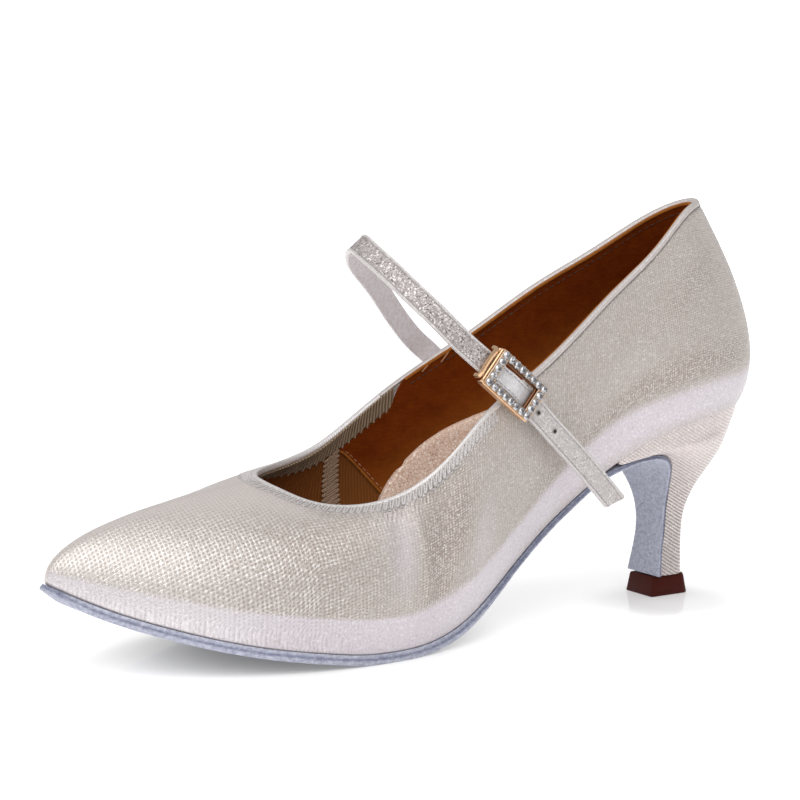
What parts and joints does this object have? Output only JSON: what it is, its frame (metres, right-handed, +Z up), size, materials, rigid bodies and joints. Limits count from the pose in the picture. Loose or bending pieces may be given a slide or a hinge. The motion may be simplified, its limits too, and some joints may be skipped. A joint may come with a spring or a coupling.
{
  "type": "ballroom dance shoe",
  "caption": "Closed-toe ballroom dance shoe for the left foot with pointed toe, open throat, slim flared heel and one buckled instep strap.",
  "frame": {"origin": "Middle of the heel tip's foot, on the floor.", "axes": "+X runs forward to the toe, +Y to the outer side of the left foot, +Z up."},
  "size_m": [0.2508, 0.0784, 0.1267],
  "materials": {
    "metallic_fabric": "champagne silver woven mesh with a soft metallic sheen",
    "heel_cover": "the upper's metallic fabric with fine diagonal ribs",
    "silver_trim": "pale silver folded binding and stitched elastic",
    "strap_fabric": "silver glitter fabric with piped edges",
    "sock_fabric": "pale pinkish silver padded sock",
    "sole_suede": "blue grey suede with a raised nap",
    "tip_plastic": "dark brown moulded top piece",
    "rose_gold": "polished rose gold plate",
    "crystal": "clear faceted stones in a silver setting"
  },
  "bodies": {
    "root": {"upper": "metallic_fabric", "collar_binding": "silver_trim", "throat_elastic": "silver_trim", "insole": "sock_fabric", "outsole": "sole_suede", "heel": "heel_cover", "heel_tip": "tip_plastic", "strap": "strap_fabric", "buckle_frame": "rose_gold", "buckle_keeper": "rose_gold", "crystal_band": "crystal"}
  },
  "joints": []
}
